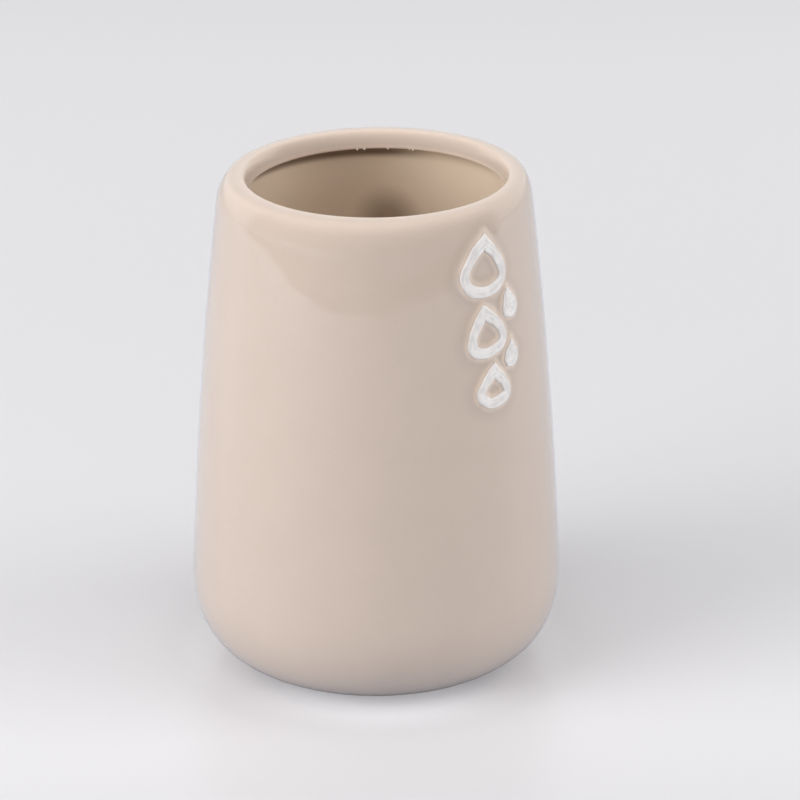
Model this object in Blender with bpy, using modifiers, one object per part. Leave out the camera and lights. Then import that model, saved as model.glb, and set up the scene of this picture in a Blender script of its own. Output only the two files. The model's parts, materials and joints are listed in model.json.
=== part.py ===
"""Toothbrush holder: a slip-cast, glazed tumbler with raised white drops down one side.

Lengths are in metres. The foot rests on the plane z = 0, the cup's axis is Z, and the column of drops
faces -Y. The cup is one casting. Each drop has a low ground that belongs to the casting, and a piece of
thick white enamel that lies on the ground.
"""

from dataclasses import dataclass
from functools import cache
from math import atan2, cos, hypot, pi, radians, sin, tan

import bmesh
import bpy
import numpy as np
from mathutils import Vector, geometry

# Outer form of the cup
HEIGHT = 0.105
BELLY_RADIUS = 0.0383
BELLY_HEIGHT = 0.020
SHOULDER_RADIUS = 0.0321
SHOULDER_DROP = 0.0055
WALL_BULGE = 0.0010
BASE_RISE = 0.018
BASE_FLARE = 0.005

# Wall and foot
WALL = 0.0040
FOOT_RADIUS = 0.0215
FOOT_WIDTH = 0.0030
FOOT_RECESS = 0.0016
RECESS_ROUND = 0.0012

# Rim, from the crest inward to the lip
CREST_RADIUS = 0.0298
MOUTH_RADIUS = 0.02695
MOUTH_ROUND = 0.00045
MOUTH_SLOPE = radians(60)
LIP_RADIUS = 0.0259
LIP_DROP = 0.0034
LIP_SLOPE = radians(86)
LIP_EDGE = 0.0005
UNDERCUT = 0.0029

# Column of raised drops
COLUMN_TOP = 0.0048
COLUMN_HEIGHT = 0.0359
COLUMN_WIDTH = 0.0140
GROUND_HEIGHT = 0.00035
GROUND_MARGIN = 0.00045
GROUND_ROOT = 0.0010
ENAMEL_THICKNESS = 0.0005
SEAT_GAP = 0.0003
EDGE_ROUND = 0.00015
BRUSH_SIDE = 0.0021
BRUSH_FOOT = 0.0023
BRUSH_TIP = 0.0035
DROP_TAPER = 1.25
TIP_FULLNESS = 0.10

# Fineness of the faceted solids
TURN_STEPS = 60
WALL_POINTS = 8
BASE_POINTS = 9
RIM_POINTS = 5
SHOULDER_POINTS = 7
FLOOR_POINTS = 4
OUTLINE_POINTS = 32
HOLE_POINTS = 22
SOLID_POINTS = 20
WELD = 1e-6


@dataclass(frozen=True)
class Drop:
    """One drop. Its place in the column and its size are shares of the column's width and height."""

    across: float
    down: float
    width: float
    height: float
    lean: float
    outlined: bool

    def size(self):
        """Its real width and height."""
        return self.width * COLUMN_WIDTH, self.height * COLUMN_HEIGHT

    def place(self):
        """Where its middle lies: the arc's length across the column, and the height above the foot."""
        return self.across * COLUMN_WIDTH, HEIGHT - COLUMN_TOP - self.down * COLUMN_HEIGHT


DROPS = (
    Drop(across=-0.06, down=0.18, width=0.83, height=0.36, lean=radians(-5), outlined=True),
    Drop(across=0.39, down=0.43, width=0.32, height=0.18, lean=radians(8), outlined=False),
    Drop(across=-0.09, down=0.55, width=0.72, height=0.31, lean=radians(6), outlined=True),
    Drop(across=0.37, down=0.72, width=0.29, height=0.16, lean=radians(-6), outlined=False),
    Drop(across=-0.01, down=0.87, width=0.62, height=0.26, lean=radians(-4), outlined=True),
)


def clear_scene():
    """Empty the scene of whatever it opened with."""
    for thing in list(bpy.data.objects):
        bpy.data.objects.remove(thing, do_unlink=True)


def make_collection(name):
    """A new collection under the scene's own."""
    collection = bpy.data.collections.new(name)
    bpy.context.scene.collection.children.link(collection)
    return collection


def make_material(name, colour, roughness):
    """A glazed, non-metallic finish of one colour."""
    material = bpy.data.materials.new(name)
    material.use_nodes = True
    shader = material.node_tree.nodes["Principled BSDF"]
    shader.inputs["Base Color"].default_value = (*colour, 1.0)
    shader.inputs["Roughness"].default_value = roughness
    shader.inputs["Metallic"].default_value = 0.0
    material.diffuse_color = (*colour, 1.0)
    return material


# Profiles: each is a list of (radius, height) points


def curve_points(start, start_handle, end_handle, end, count):
    """Points along a cubic curve between two profile points."""
    knots = [Vector((x, z, 0.0)) for x, z in (start, start_handle, end_handle, end)]
    return [(p.x, p.y) for p in geometry.interpolate_bezier(*knots, count)]


def quarter(centre, across, up, count, start=0.0, end=pi / 2):
    """Points of an elliptical arc, from start to end of the angle that is measured from the across axis."""
    angles = [start + (end - start) * i / (count - 1) for i in range(count)]
    return [(centre[0] + across * cos(a), centre[1] + up * sin(a)) for a in angles]


def shoulder():
    """The soft outer round of the rim bead, from its crest down to the top of the wall."""
    bead = (CREST_RADIUS, HEIGHT - SHOULDER_DROP)
    return quarter(bead, SHOULDER_RADIUS - CREST_RADIUS, SHOULDER_DROP, SHOULDER_POINTS, pi / 2, 0.0)


def outer_wall():
    """The tapering wall, from the shoulder down to the belly, with its slight outward bulge."""
    top = (SHOULDER_RADIUS, HEIGHT - SHOULDER_DROP)
    bottom = (BELLY_RADIUS, BELLY_HEIGHT)
    handles = []
    for share in (1 / 3, 2 / 3):
        radius = top[0] + (bottom[0] - top[0]) * share + WALL_BULGE
        height = top[1] + (bottom[1] - top[1]) * share
        handles.append((radius, height))
    return curve_points(top, *handles, bottom, WALL_POINTS)


def base_turn(wall):
    """The big round of the base, from the belly in to the foot, leaving the wall without a break."""
    belly = Vector(wall[-1])
    along = (belly - Vector(wall[-2])).normalized()
    foot = (FOOT_RADIUS, 0.0)
    flare = (FOOT_RADIUS + BASE_FLARE, 0.0)
    return curve_points(tuple(belly), tuple(belly + along * BASE_RISE), flare, foot, BASE_POINTS)


@cache
def outer_side():
    """Shoulder, wall and base round in one line, from the crest of the rim down to the foot."""
    wall = outer_wall()
    return tuple(shoulder() + wall[1:] + base_turn(wall)[1:])


def inset(points, distance):
    """The line that lies inside a downward profile at an even distance."""
    shifted = []
    for i, (x, z) in enumerate(points):
        before = points[max(i - 1, 0)]
        after = points[min(i + 1, len(points) - 1)]
        run = after[0] - before[0]
        drop = before[1] - after[1]
        length = hypot(run, drop)
        shifted.append((x - distance * drop / length, z - distance * run / length))
    return shifted


def radius_at(points, height):
    """Where a downward profile stands at a height."""
    heights = [z for _, z in reversed(points)]
    radii = [x for x, _ in reversed(points)]
    return float(np.interp(height, heights, radii))


def inner_side():
    """Floor, cove and inner wall, from the middle of the floor up to the undercut below the lip."""
    line = inset(outer_side()[SHOULDER_POINTS - 1 :], WALL)
    top = HEIGHT - LIP_DROP - LIP_EDGE - UNDERCUT
    wall = [point for point in line if point[1] < top - WELD]
    cove_end = wall[-1]
    middle = (0.0, FOOT_RECESS + WALL)
    handle_a = (cove_end[0] / 2, middle[1])
    handle_b = (cove_end[0] / 2, cove_end[1])
    floor = curve_points(middle, handle_a, handle_b, cove_end, FLOOR_POINTS)
    return floor + wall[-2::-1] + [(radius_at(line, top), top)]


def rim(inner_top):
    """Undercut, lip, steep mouth and its corner, from the inner wall up to the flat top of the rim bead."""
    lip = (LIP_RADIUS, HEIGHT - LIP_DROP)
    under = (LIP_RADIUS, inner_top[1])
    undercut = quarter(under, inner_top[0] - LIP_RADIUS, UNDERCUT, RIM_POINTS)
    centre = (MOUTH_RADIUS + MOUTH_ROUND * tan(MOUTH_SLOPE / 2), HEIGHT - MOUTH_ROUND)
    corner = quarter(centre, MOUTH_ROUND, MOUTH_ROUND, RIM_POINTS, pi / 2 + MOUTH_SLOPE, pi / 2)
    reach = (corner[0][1] - lip[1]) / 3
    leave = (lip[0] + reach * cos(LIP_SLOPE), lip[1] + reach * sin(LIP_SLOPE))
    arrive = (corner[0][0] - reach * cos(MOUTH_SLOPE), corner[0][1] - reach * sin(MOUTH_SLOPE))
    mouth = curve_points(lip, leave, arrive, corner[0], RIM_POINTS)
    return undercut[1:] + mouth + corner[1:]


def foot():
    """Foot ring and recessed underside, from the ring's outer edge to the middle."""
    ring = (FOOT_RADIUS - FOOT_WIDTH, 0.0)
    centre = (ring[0] - RECESS_ROUND, 0.0)
    step = quarter(centre, RECESS_ROUND, FOOT_RECESS, RIM_POINTS)
    return [ring] + step[1:] + [(0.0, FOOT_RECESS)]


def cup_profile():
    """The whole section, from the middle of the floor over the rim and under the foot."""
    inner = inner_side()
    return inner + rim(inner[-1]) + list(outer_side()) + foot()


def turned(name, profile, collection):
    """A solid turned about Z from a profile that runs down its outer side."""
    mesh = bpy.data.meshes.new(name)
    points = [(x, 0.0, z) for x, z in profile]
    mesh.from_pydata(points, [(i, i + 1) for i in range(len(points) - 1)], [])
    thing = bpy.data.objects.new(name, mesh)
    collection.objects.link(thing)
    screw = thing.modifiers.new("turn", "SCREW")
    screw.axis = "Z"
    screw.angle = 2 * pi
    screw.steps = TURN_STEPS
    screw.render_steps = TURN_STEPS
    screw.use_merge_vertices = True
    screw.merge_threshold = WELD
    screw.use_smooth_shade = True
    return thing


# Drops: drawn flat, across and up, then wrapped round the wall


def drop_outline(width, height, centre, lean, count):
    """Points of a drop with its tip up, turned by its lean about the middle of the whole drop."""
    turns = [2 * pi * i / count for i in range(count)]
    halves = [sin(t) * (TIP_FULLNESS + (1 - TIP_FULLNESS) * sin(t / 2) ** DROP_TAPER) for t in turns]
    widest = max(halves)
    points = []
    for turn, half in zip(turns, halves):
        x = -half / widest * width / 2
        y = cos(turn) * height / 2 + centre
        points.append((x * cos(lean) - y * sin(lean), x * sin(lean) + y * cos(lean)))
    return points


def drop_outlines(drop, margin):
    """The edge of a drop and, on an outlined one, of its opening. A margin makes the stroke wider."""
    width, height = drop.size()
    count = OUTLINE_POINTS if drop.outlined else SOLID_POINTS
    outlines = [drop_outline(width + 2 * margin, height + 2 * margin, 0.0, drop.lean, count)]
    if drop.outlined:
        hole_width = width - 2 * BRUSH_SIDE - 2 * margin
        hole_height = height - BRUSH_TIP - BRUSH_FOOT - 2 * margin
        hole_centre = (BRUSH_FOOT - BRUSH_TIP) / 2
        outlines.append(drop_outline(hole_width, hole_height, hole_centre, drop.lean, HOLE_POINTS))
    return outlines


def flat_slab(outlines, thickness):
    """A mesh of a flat outline with rounded edges, lying on the plane z = 0."""
    curve = bpy.data.curves.new("slab", "CURVE")
    curve.dimensions = "2D"
    curve.fill_mode = "BOTH"
    curve.extrude = thickness / 2 - EDGE_ROUND
    curve.bevel_depth = EDGE_ROUND
    curve.bevel_resolution = 1
    curve.offset = -EDGE_ROUND
    for outline in outlines:
        spline = curve.splines.new("POLY")
        spline.points.add(len(outline) - 1)
        spline.use_cyclic_u = True
        for point, (x, y) in zip(spline.points, outline):
            point.co = (x, y, 0.0, 1.0)
    drawn = bpy.data.objects.new("slab", curve)
    bpy.context.scene.collection.objects.link(drawn)
    graph = bpy.context.evaluated_depsgraph_get()
    mesh = bpy.data.meshes.new_from_object(drawn.evaluated_get(graph))
    bpy.data.objects.remove(drawn, do_unlink=True)
    cage = bmesh.new()
    cage.from_mesh(mesh)
    bmesh.ops.remove_doubles(cage, verts=cage.verts, dist=WELD)
    bmesh.ops.translate(cage, verts=cage.verts, vec=(0.0, 0.0, thickness / 2))
    cage.to_mesh(mesh)
    cage.free()
    return mesh


def wall_place(across, height, proud):
    """The point that lies an arc's length across and a distance proud of the outer wall."""
    line = outer_side()
    step = WALL / 2
    radius = radius_at(line, height)
    slope = atan2(radius_at(line, height - step) - radius_at(line, height + step), 2 * step)
    reach = radius + proud * cos(slope)
    angle = across / radius
    return Vector((reach * sin(angle), -reach * cos(angle), height + proud * sin(slope)))


def wrap(mesh, drop, lift):
    """Bend a flat slab onto the wall at its drop's place, lifted off the wall or sunk into it."""
    across, height = drop.place()
    for vertex in mesh.vertices:
        vertex.co = wall_place(across + vertex.co.x, height + vertex.co.y, lift + vertex.co.z)


def make_ground(name, drop, collection):
    """The raised ground of one drop, rooted in the wall so that it joins the casting."""
    mesh = flat_slab(drop_outlines(drop, GROUND_MARGIN), GROUND_ROOT + GROUND_HEIGHT)
    wrap(mesh, drop, -GROUND_ROOT)
    ground = bpy.data.objects.new(name, mesh)
    ground.hide_render = True
    ground.display_type = "WIRE"
    collection.objects.link(ground)
    return ground


def make_enamel(name, drop, material, collection):
    """The white enamel of one drop, seated just clear of its ground."""
    mesh = flat_slab(drop_outlines(drop, 0.0), ENAMEL_THICKNESS)
    wrap(mesh, drop, GROUND_HEIGHT + SEAT_GAP)
    mesh.materials.clear()
    mesh.materials.append(material)
    mesh.shade_smooth()
    mesh.set_sharp_from_angle(angle=radians(50))
    enamel = bpy.data.objects.new(name, mesh)
    collection.objects.link(enamel)
    return enamel


def make_cup(material, parts, guides):
    """The cup body with the grounds of its drops joined on."""
    cup = turned("cup_body", cup_profile(), parts)
    cup.data.materials.append(material)
    for number, drop in enumerate(DROPS, start=1):
        join = cup.modifiers.new(f"ground_{number}", "BOOLEAN")
        join.operation = "UNION"
        join.solver = "EXACT"
        join.object = make_ground(f"ground_{number}", drop, guides)
    return cup


def main():
    """Build the holder."""
    clear_scene()
    parts = make_collection("toothbrush_holder")
    guides = make_collection("construction")
    glaze = make_material("beige_glaze", (0.60, 0.48, 0.40), 0.16)
    enamel = make_material("white_enamel", (0.88, 0.88, 0.87), 0.12)
    cup = make_cup(glaze, parts, guides)
    for number, drop in enumerate(DROPS, start=1):
        piece = make_enamel(f"enamel_drop_{number}", drop, enamel, parts)
        piece.parent = cup


main()
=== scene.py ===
"""Looks of a glazed ceramic toothbrush holder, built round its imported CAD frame.

The holder is a slip-cast tumbler with a thick rounded rim, a sharp undercut lip and a column of raised
water drops in white enamel. Lengths are in metres. The foot rests on z = 0, the cup's axis is Z and the
column of drops faces -Y, as in the frame. An azimuth is counted from -Y towards +X.
"""

import json
import logging
import math
from collections.abc import Iterable, Mapping, Sequence
from dataclasses import dataclass, field
from enum import Enum
from functools import cached_property
from typing import Any

import bpy
import numpy as np
from mathutils import Matrix, Vector

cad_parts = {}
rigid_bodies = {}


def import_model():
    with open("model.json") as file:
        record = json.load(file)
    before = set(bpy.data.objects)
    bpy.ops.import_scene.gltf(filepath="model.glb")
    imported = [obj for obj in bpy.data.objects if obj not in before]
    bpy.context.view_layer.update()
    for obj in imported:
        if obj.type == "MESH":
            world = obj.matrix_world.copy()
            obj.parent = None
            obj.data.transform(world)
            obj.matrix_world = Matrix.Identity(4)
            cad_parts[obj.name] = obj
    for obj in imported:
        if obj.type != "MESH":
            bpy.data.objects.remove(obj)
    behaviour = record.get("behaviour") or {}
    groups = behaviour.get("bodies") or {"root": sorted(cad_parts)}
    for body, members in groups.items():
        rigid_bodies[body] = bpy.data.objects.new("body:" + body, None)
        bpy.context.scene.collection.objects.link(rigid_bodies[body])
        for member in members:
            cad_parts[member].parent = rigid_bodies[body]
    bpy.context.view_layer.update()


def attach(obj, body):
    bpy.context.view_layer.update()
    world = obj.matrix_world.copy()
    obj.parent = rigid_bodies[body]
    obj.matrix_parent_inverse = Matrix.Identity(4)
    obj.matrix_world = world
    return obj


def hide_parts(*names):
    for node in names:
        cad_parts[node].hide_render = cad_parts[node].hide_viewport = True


LOG = logging.getLogger("toothbrush_holder")

Colour = tuple[float, float, float]
Span = tuple[float, float]
Points = np.ndarray

MM = 0.001
QUARTER = math.pi / 2
ROUND = 2 * math.pi
WELD = 1e-6
BLACK: Colour = (0.0, 0.0, 0.0)
ROOT = "root"

GLAZE_SLOT = "beige_glaze"
ENAMEL_SLOT = "white_enamel"

THIN = "glaze_thin"
BARE = "bare_clay"
OUTSIDE = "outside"
MOUTH = "mouth_share"
REACH = "ground_reach"
STROKE = "brush_stroke"
NIB = "nib_size"


# Node graphs


class Ray(Enum):
    """A kind of ray, as Light Path calls it."""

    SEEN = "Is Camera Ray"
    MIRRORED = "Is Glossy Ray"


class Signal:
    """An output socket that can stand in Python expressions."""

    def __init__(self, graph: "Graph", socket: bpy.types.NodeSocket) -> None:
        """Keep the socket and the graph that its Math nodes go into."""
        self.graph = graph
        self.socket = socket

    def __neg__(self) -> "Signal":
        """The value with its sign turned."""
        return self.graph.math("SUBTRACT", 0.0, self)

    def __add__(self, other: Any) -> "Signal":
        """Sum of the two."""
        return self.graph.math("ADD", self, other)

    def __radd__(self, other: Any) -> "Signal":
        """Sum with a number in front."""
        return self.graph.math("ADD", other, self)

    def __sub__(self, other: Any) -> "Signal":
        """Difference of the two."""
        return self.graph.math("SUBTRACT", self, other)

    def __rsub__(self, other: Any) -> "Signal":
        """Difference from a number in front."""
        return self.graph.math("SUBTRACT", other, self)

    def __mul__(self, other: Any) -> "Signal":
        """Product of the two."""
        return self.graph.math("MULTIPLY", self, other)

    def __rmul__(self, other: Any) -> "Signal":
        """Product with a number in front."""
        return self.graph.math("MULTIPLY", other, self)

    def __truediv__(self, other: Any) -> "Signal":
        """Quotient of the two."""
        return self.graph.math("DIVIDE", self, other)

    def __rtruediv__(self, other: Any) -> "Signal":
        """Quotient with a number in front."""
        return self.graph.math("DIVIDE", other, self)


class Graph:
    """A node tree that is being drawn."""

    def __init__(self, tree: bpy.types.NodeTree) -> None:
        """Start drawing in a tree."""
        self.tree = tree

    @staticmethod
    def find(sockets: Any, key: str | int) -> bpy.types.NodeSocket:
        """Find one of a node's sockets by its index, its identifier or else its name."""
        known = {socket.identifier: socket for socket in sockets}
        return known[key] if key in known else sockets[key]

    def feed(self, socket: bpy.types.NodeSocket, value: Any) -> None:
        """Fill an input socket.

        Args:
            socket: The socket.
            value: A link, a colour, or other data of the socket's kind.
        """
        if isinstance(value, Signal):
            self.tree.links.new(value.socket, socket)
        elif socket.type == "RGBA":
            socket.default_value = (*value, 1.0)
        else:
            socket.default_value = value

    def add(
        self,
        kind: str,
        settings: Mapping[str, Any] | None = None,
        values: Mapping[str | int, Any] | None = None,
    ) -> bpy.types.Node:
        """Add a node of any type.

        Args:
            kind: The node's type name.
            settings: Its properties, which are set first, such as a Math node's operation.
            values: Numbers, data or links for its input sockets, by name, identifier or index.

        Returns:
            The new node.
        """
        node = self.tree.nodes.new(kind)
        for name, value in (settings or {}).items():
            setattr(node, name, value)
        for key, value in (values or {}).items():
            self.feed(self.find(node.inputs, key), value)
        return node

    def take(
        self,
        kind: str,
        settings: Mapping[str, Any] | None = None,
        values: Mapping[str | int, Any] | None = None,
        output: str | int = 0,
    ) -> Signal:
        """Add a node and take one of its outputs.

        Args:
            kind: The node's type name.
            settings: Its properties.
            values: What goes into its sockets.
            output: The name, identifier or index of the output.

        Returns:
            That output.
        """
        return Signal(self, self.find(self.add(kind, settings, values).outputs, output))

    def math(self, operation: str, *values: Any) -> Signal:
        """A Math node on some values."""
        return self.take("ShaderNodeMath", {"operation": operation}, dict(enumerate(values)))

    def vector(self, operation: str, *values: Any, output: str = "Vector") -> Signal:
        """A Vector Math node on some vectors."""
        return self.take("ShaderNodeVectorMath", {"operation": operation}, dict(enumerate(values)), output)

    def scaled(self, vector: Any, factor: Any) -> Signal:
        """A vector times a value."""
        values = {"Vector": vector, "Scale": factor}
        return self.take("ShaderNodeVectorMath", {"operation": "SCALE"}, values)

    def along(self, place: Any, way: Vector) -> Signal:
        """How far a place lies in a direction."""
        return self.vector("DOT_PRODUCT", place, way, output="Value")

    def parts(self, vector: Any) -> tuple[Signal, Signal, Signal]:
        """The x, y and z of a vector."""
        node = self.add("ShaderNodeSeparateXYZ", None, {"Vector": vector})
        return tuple(Signal(self, socket) for socket in node.outputs)

    def joined(self, x: Any, y: Any, z: Any) -> Signal:
        """A vector from its x, y and z."""
        return self.take("ShaderNodeCombineXYZ", None, {"X": x, "Y": y, "Z": z})

    def ray(self, kind: Ray) -> Signal:
        """1 on rays of one kind and 0 on all others."""
        return self.take("ShaderNodeLightPath", output=kind.value)

    def mix(self, share: Any, first: Any, second: Any) -> Signal:
        """Mix two colours.

        Args:
            share: How much of the second there is.
            first: The colour at share 0.
            second: The colour at share 1.

        Returns:
            The mixed colour.
        """
        values = {"Factor_Float": share, "A_Color": first, "B_Color": second}
        return self.take("ShaderNodeMix", {"data_type": "RGBA"}, values, "Result_Color")

    def ramp(self, value: Any, start: Any, end: Any, low: float = 0.0, high: float = 1.0) -> Signal:
        """Turn a value into a smooth step.

        Args:
            value: What is read.
            start: The value at which the result is low. It may be past the end.
            end: The value at which the result is high.
            low: The result on the start's side.
            high: The result on the end's side.

        Returns:
            The stepped value.
        """
        values = {"Value": value, "From Min": start, "From Max": end, "To Min": low, "To Max": high}
        return self.take("ShaderNodeMapRange", {"interpolation_type": "SMOOTHSTEP"}, values)

    def band(self, value: Any, rise: Span, fall: Span) -> Signal:
        """1 where the value is between a rise and a fall, and 0 outside them."""
        return self.ramp(value, *rise) * self.ramp(value, *fall, 1.0, 0.0)

    def noise(self, place: Any, size: Any, seed: Any, detail: float = 2.0, rough: float = 0.5) -> Signal:
        """Read a soft random pattern.

        Args:
            place: Where it is read.
            size: The width of its blotches, in the unit of place.
            seed: Which pattern it is.
            detail: How many finer layers it has.
            rough: How strong they are.

        Returns:
            A value round 0.5.
        """
        values = {"Vector": place, "W": seed, "Scale": 1.0 / size, "Detail": detail, "Roughness": rough}
        return self.take("ShaderNodeTexNoise", {"noise_dimensions": "4D"}, values)


class Shader(Graph):
    """A material's graph, with its Principled shader."""

    def __init__(self, name: str) -> None:
        """Make a new material with nodes.

        Args:
            name: The material's name.
        """
        self.material = bpy.data.materials.new(name)
        self.material.use_nodes = True
        super().__init__(self.material.node_tree)
        self.surface = self.tree.nodes["Principled BSDF"]

    def attribute(self, name: str, output: str = "Fac") -> Signal:
        """A value or vector that is stored on the mesh."""
        return self.take("ShaderNodeAttribute", {"attribute_name": name}, None, output)

    def place(self) -> Signal:
        """The Object coordinates."""
        return self.take("ShaderNodeTexCoord", output="Object")

    def bump(self, height: Any, distance: float, under: Signal | None = None) -> Signal:
        """Roughen the surface's shading.

        Args:
            height: The height of the surface, from 0 to 1.
            distance: What a height of 1 is, in metres.
            under: A coarser bump that this one lies on.

        Returns:
            The new normal.
        """
        values = {"Height": height, "Distance": distance, "Strength": 1.0}
        if under is not None:
            values["Normal"] = under
        return self.take("ShaderNodeBump", None, values)

    def finish(self, **sockets: Any) -> bpy.types.Material:
        """Fill the Principled shader's sockets.

        Args:
            sockets: A value or link for each, by its name with underscores.

        Returns:
            The material.
        """
        for name, value in sockets.items():
            self.feed(self.surface.inputs[name.replace("_", " ")], value)
        return self.material


class ShapeTree(Graph):
    """A Geometry Nodes tree that makes one mesh."""

    def __init__(self, name: str, inputs: Mapping[str, Any]) -> None:
        """Make an empty tree with named inputs.

        Args:
            name: The tree's name.
            inputs: What goes into each of its inputs: a guide object, a whole number or a number.
        """
        super().__init__(bpy.data.node_groups.new(name, "GeometryNodeTree"))
        self.given = dict(inputs)
        for label, value in inputs.items():
            self.tree.interface.new_socket(name=label, in_out="INPUT", socket_type=self._socket_type(value))
        self.tree.interface.new_socket(name="Geometry", in_out="OUTPUT", socket_type="NodeSocketGeometry")
        self.entry = self.tree.nodes.new("NodeGroupInput")

    @staticmethod
    def _socket_type(value: Any) -> str:
        """The kind of socket that holds a value."""
        kinds = {bpy.types.Object: "Object", int: "Int", float: "Float"}
        return next("NodeSocket" + kind for known, kind in kinds.items() if isinstance(value, known))

    def input(self, label: str) -> Signal:
        """One of the tree's inputs."""
        return Signal(self, self.entry.outputs[label])

    def guide(self, label: str) -> Signal:
        """The mesh of an object that is one of the inputs."""
        return self.take("GeometryNodeObjectInfo", None, {"Object": self.input(label)}, "Geometry")

    def position(self) -> Signal:
        """Where each point is."""
        return self.take("GeometryNodeInputPosition")

    def named(self, name: str) -> Signal:
        """A value that is stored on the points."""
        return self.take("GeometryNodeInputNamedAttribute", {"data_type": "FLOAT"}, {"Name": name})

    def points_in(self, mesh: Signal) -> Signal:
        """How many points a mesh has."""
        return self.take("GeometryNodeAttributeDomainSize", None, {"Geometry": mesh}, "Point Count")

    def at(self, mesh: Signal, value: Signal, index: Signal, kind: str = "FLOAT") -> Signal:
        """Read a value on another mesh.

        Args:
            mesh: The mesh that is read.
            value: What is read there.
            index: The number of its point.
            kind: The value's data type.

        Returns:
            What that point holds.
        """
        values = {"Geometry": mesh, "Value": value, "Index": index}
        return self.take("GeometryNodeSampleIndex", {"data_type": kind, "clamp": True}, values)

    def place_at(self, mesh: Signal, index: Signal) -> Signal:
        """Where a point of another mesh is."""
        return self.at(mesh, self.position(), index, "FLOAT_VECTOR")

    def store(self, mesh: Signal, name: str, value: Any, kind: str = "FLOAT") -> Signal:
        """Store a value on the points.

        Args:
            mesh: The mesh that gets it.
            name: The attribute's name.
            value: The value.
            kind: Its data type.

        Returns:
            The mesh with the attribute.
        """
        settings = {"data_type": kind, "domain": "POINT"}
        values = {"Geometry": mesh, "Name": name, "Value": value}
        return self.take("GeometryNodeStoreNamedAttribute", settings, values)

    def moved(self, mesh: Signal, **places: Signal) -> Signal:
        """Put the points at a Position, or move them by an Offset."""
        return self.take("GeometryNodeSetPosition", None, {"Geometry": mesh, **places})

    def welded(self, mesh: Signal) -> Signal:
        """Merge the points that lie on each other."""
        return self.take("GeometryNodeMergeByDistance", None, {"Geometry": mesh, "Distance": WELD})

    def lattice(self, across: Signal, along: Signal) -> tuple[Signal, Signal, Signal]:
        """Make a grid whose points know their column and their row.

        Args:
            across: How many columns it has.
            along: How many rows it has.

        Returns:
            The grid, the column of each point and its row.
        """
        grid = self.take("GeometryNodeMeshGrid", None, {"Vertices X": across, "Vertices Y": along}, "Mesh")
        index = self.take("GeometryNodeInputIndex")
        column = self.math("FLOOR", (index + 0.5) / along)
        return grid, column, index - column * along

    def grow(self, name: str, mesh: Signal, material: bpy.types.Material) -> bpy.types.Object:
        """End the tree, evaluate it, keep its result as a plain mesh and remove its guides.

        Args:
            name: The new object's name.
            mesh: The geometry that the tree ends with.
            material: The material that it gets.

        Returns:
            The new object, at the origin.
        """
        smooth = self.take("GeometryNodeSetShadeSmooth", None, {"Geometry": mesh})
        real = self.take("GeometryNodeRealizeInstances", None, {"Geometry": smooth})
        done = self.take("GeometryNodeSetMaterial", None, {"Geometry": real, "Material": material})
        end = self.tree.nodes.new("NodeGroupOutput")
        self.feed(end.inputs["Geometry"], done)
        piece = placed(name, bpy.data.meshes.new(name))
        modifier = piece.modifiers.new("shape", "NODES")
        modifier.node_group = self.tree
        for item in self.tree.interface.items_tree:
            if item.in_out == "INPUT":
                modifier[item.identifier] = self.given[item.name]
        graph = bpy.context.evaluated_depsgraph_get()
        result = bpy.data.meshes.new_from_object(piece.evaluated_get(graph))
        piece.modifiers.remove(modifier)
        piece.data = result
        result.name = name
        remove(value for value in self.given.values() if isinstance(value, bpy.types.Object))
        return piece


# Lines and meshes that guide the trees


def direction(azimuth: float, elevation: float = 0.0) -> Vector:
    """The unit vector towards an azimuth and an elevation."""
    flat = math.cos(elevation)
    return Vector((math.sin(azimuth) * flat, -math.cos(azimuth) * flat, math.sin(elevation)))


def around(turn: Points) -> Points:
    """Places on a unit circle at some azimuths."""
    return np.column_stack([np.sin(turn), -np.cos(turn)])


def bezier(start: Sequence, leave: Sequence, arrive: Sequence, end: Sequence, count: int) -> Points:
    """Points along a cubic curve.

    Args:
        start: Where it starts.
        leave: The handle at its start.
        arrive: The handle at its end.
        end: Where it ends.
        count: How many points there are.

    Returns:
        The points, one in each row.
    """
    a, b, c, d = (np.array(p, float) for p in (start, leave, arrive, end))
    t = np.linspace(0.0, 1.0, count)[:, None]
    return (1 - t) ** 3 * a + 3 * (1 - t) ** 2 * t * b + 3 * (1 - t) * t**2 * c + t**3 * d


def arc(centre: Sequence, across: float, up: float, start: float, end: float, count: int) -> Points:
    """Points of an elliptical arc.

    Args:
        centre: Its middle.
        across: Its half width.
        up: Its half height.
        start: The first angle, from the across axis.
        end: The last angle.
        count: How many points there are.

    Returns:
        The points, one in each row.
    """
    turn = np.linspace(start, end, count)
    return np.column_stack([centre[0] + across * np.cos(turn), centre[1] + up * np.sin(turn)])


def bell(values: Points, centre: float, width: float) -> Points:
    """A bell curve of height 1 round a centre."""
    return np.exp(-(((values - centre) / width) ** 2))


def distances(line: Points) -> Points:
    """How far along a line each of its points is."""
    return np.concatenate([[0.0], np.cumsum(np.linalg.norm(np.diff(line, axis=0), axis=1))])


def resampled(line: Points, along: Points, places: Points) -> Points:
    """The points of a flat line at other distances along it."""
    return np.column_stack([np.interp(places, along, line[:, i]) for i in (0, 1)])


def blurred(values: Points, width: float) -> Points:
    """Even out values that lie in a row.

    Args:
        values: One value or point in each row.
        width: The blur's standard deviation, in rows.

    Returns:
        As many values, with both ends held.
    """
    reach = int(4 * width)
    weights = np.exp(-0.5 * (np.arange(-reach, reach + 1) / width) ** 2)
    weights /= weights.sum()
    columns = values.reshape(len(values), -1)
    before = 2 * columns[:1] - columns[reach:0:-1]
    after = 2 * columns[-1:] - columns[-2 : -reach - 2 : -1]
    padded = np.vstack([before, columns, after])
    smooth = np.column_stack([np.convolve(column, weights, "valid") for column in padded.T])
    return smooth.reshape(values.shape)


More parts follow.
